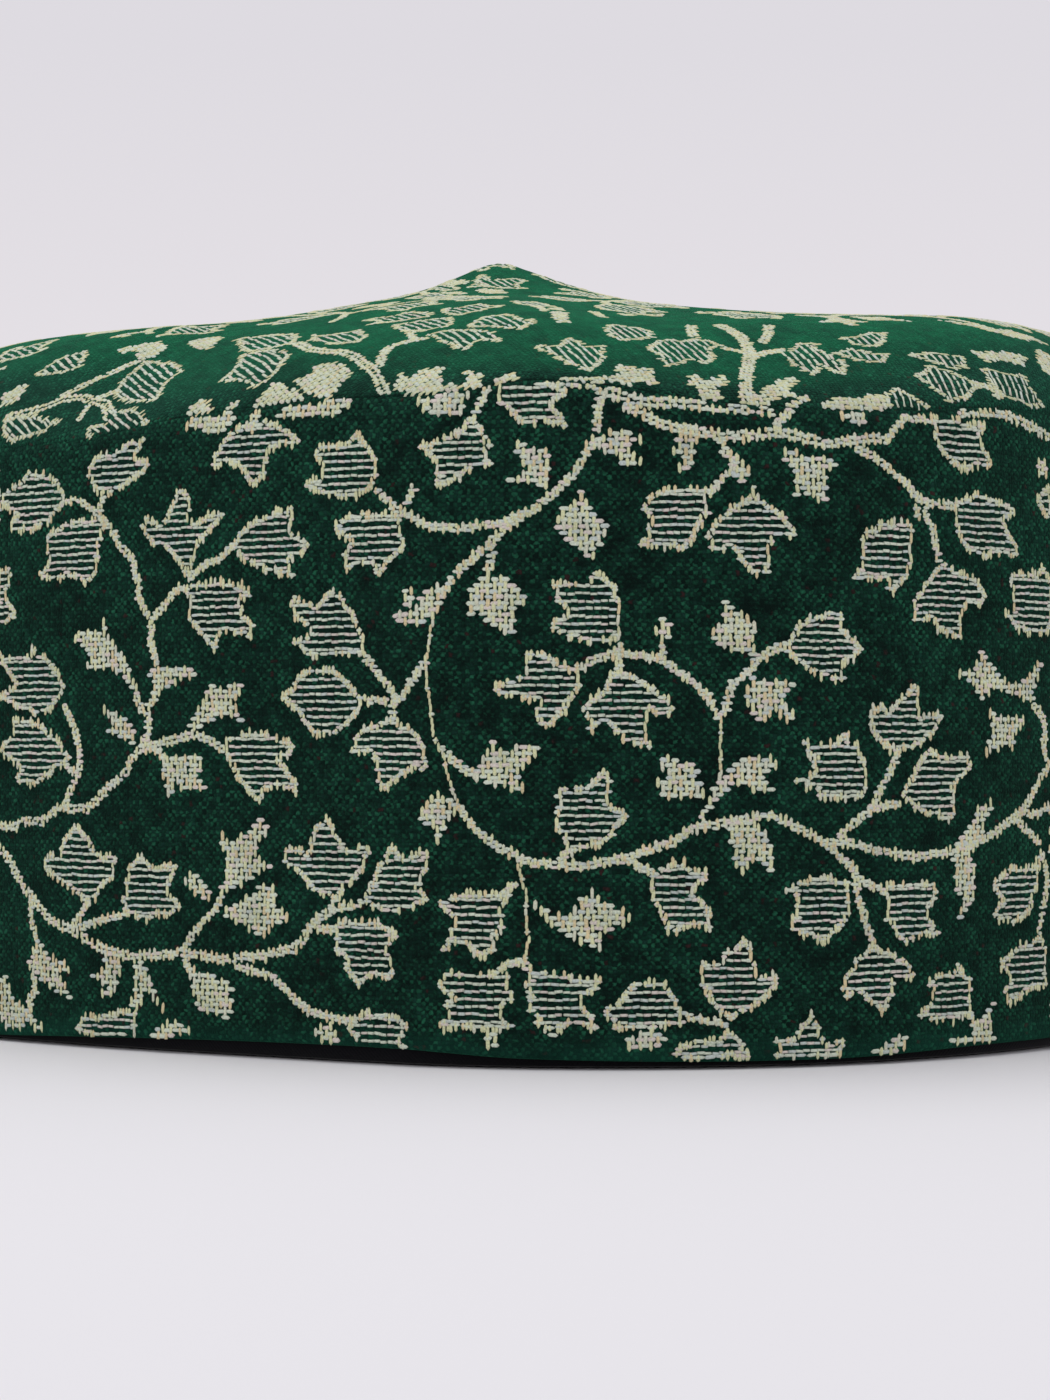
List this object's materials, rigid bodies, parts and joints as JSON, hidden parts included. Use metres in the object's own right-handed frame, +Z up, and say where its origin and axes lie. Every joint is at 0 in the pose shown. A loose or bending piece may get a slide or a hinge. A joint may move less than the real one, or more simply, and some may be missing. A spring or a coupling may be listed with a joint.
{
  "type": "woven pillbox cap",
  "caption": "Round cloth cap with an upright band, a softly peaked crown and a black lining, open underneath for the head.",
  "frame": {"origin": "on the table, under the middle of the cap's outline", "axes": "+Z up through the crown, -Y towards the front with the soft corner, +X to the viewer's right in the front view"},
  "size_m": [0.193, 0.1845, 0.1099],
  "materials": {
    "band_cloth": "dark green woven wool with raised cream floral figures",
    "crown_cloth": "dark green woven wool with raised cream floral figures",
    "lining_cloth": "plain black cotton"
  },
  "bodies": {
    "root": {"band": "band_cloth", "crown": "crown_cloth", "lining": "lining_cloth"}
  },
  "joints": []
}
